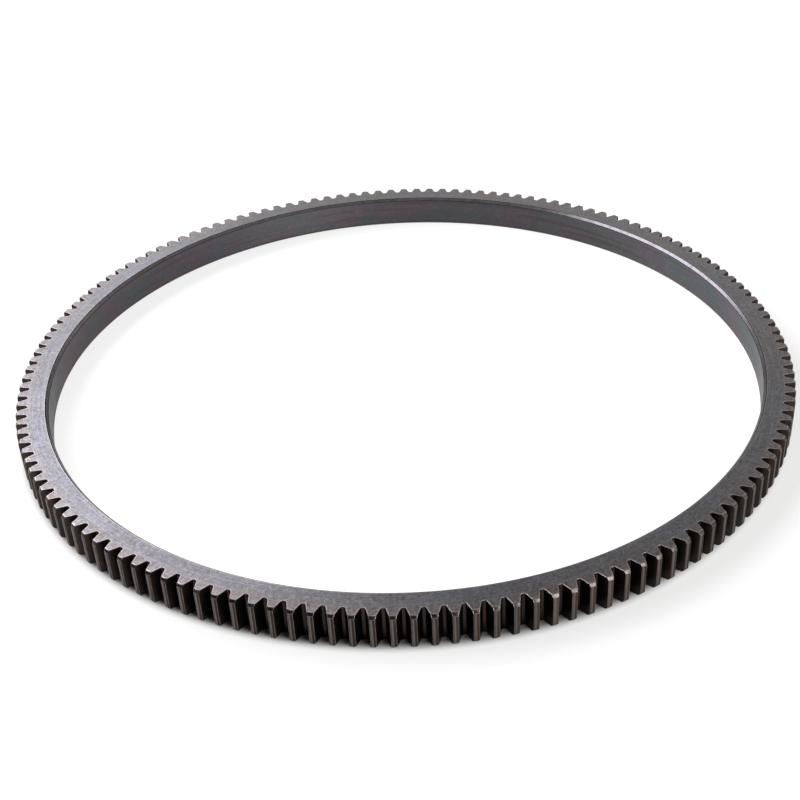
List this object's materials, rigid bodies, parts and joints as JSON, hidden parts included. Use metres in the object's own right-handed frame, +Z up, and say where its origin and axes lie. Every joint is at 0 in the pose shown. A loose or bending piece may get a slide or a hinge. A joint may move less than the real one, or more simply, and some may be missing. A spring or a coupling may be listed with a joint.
{
  "type": "flywheel ring gear",
  "caption": "Flat steel ring with straight spur teeth all round its outside, shrunk on to a flywheel rim so a starter pinion can turn it",
  "frame": {"origin": "on the ring's axis, at the level of the lower face it lies on", "axes": "+Z up along the ring's axis; +X passes through the middle of a tooth space"},
  "size_m": [0.45, 0.45, 0.02],
  "materials": {
    "steel": "oiled dark carbon steel, satin turned faces, near-black tooth flanks, heat-tinted bore"
  },
  "bodies": {
    "root": {"ring_gear": "steel"}
  },
  "joints": []
}
